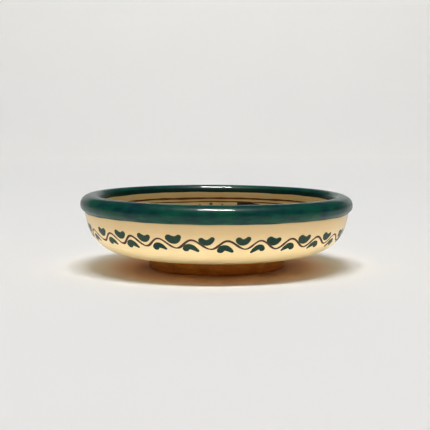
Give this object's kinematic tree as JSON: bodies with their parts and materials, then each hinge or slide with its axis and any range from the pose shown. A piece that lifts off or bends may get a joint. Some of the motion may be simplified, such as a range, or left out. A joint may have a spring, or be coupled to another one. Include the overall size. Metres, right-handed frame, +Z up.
{
  "type": "hand painted ceramic bowl",
  "caption": "Shallow footed pottery bowl with a thick rolled green lip, cream glazed wall, painted vine and leaf border, and a bare clay foot ring.",
  "frame": {"origin": "middle of the resting face, on the table plane", "axes": "+Z up along the bowl's turning axis, -Y towards the viewer, +X to the viewer's right"},
  "size_m": [0.2, 0.2, 0.0544],
  "materials": {
    "terracotta": "bare fired earthenware, matt",
    "cream_glaze": "gloss",
    "honey_glaze": "gloss",
    "green_glaze": "gloss, streaky brushwork",
    "leaf_paint": "gloss",
    "sprig_paint": "gloss",
    "brown_paint": "gloss"
  },
  "bodies": {
    "root": {"clay_bowl": "terracotta", "foot_ring": "terracotta", "rim_coil": "terracotta", "outer_glaze": "cream_glaze", "inner_glaze": "honey_glaze", "rim_glaze": "green_glaze", "vine_line": "brown_paint", "upper_leaves": "leaf_paint", "lower_leaves": "leaf_paint", "upper_band": "brown_paint", "lower_band": "brown_paint", "well_leaves": "leaf_paint", "well_sprigs": "sprig_paint", "well_ring": "brown_paint", "rosette_petals": "leaf_paint", "rosette_veins": "brown_paint", "rosette_centre": "brown_paint"}
  },
  "joints": []
}
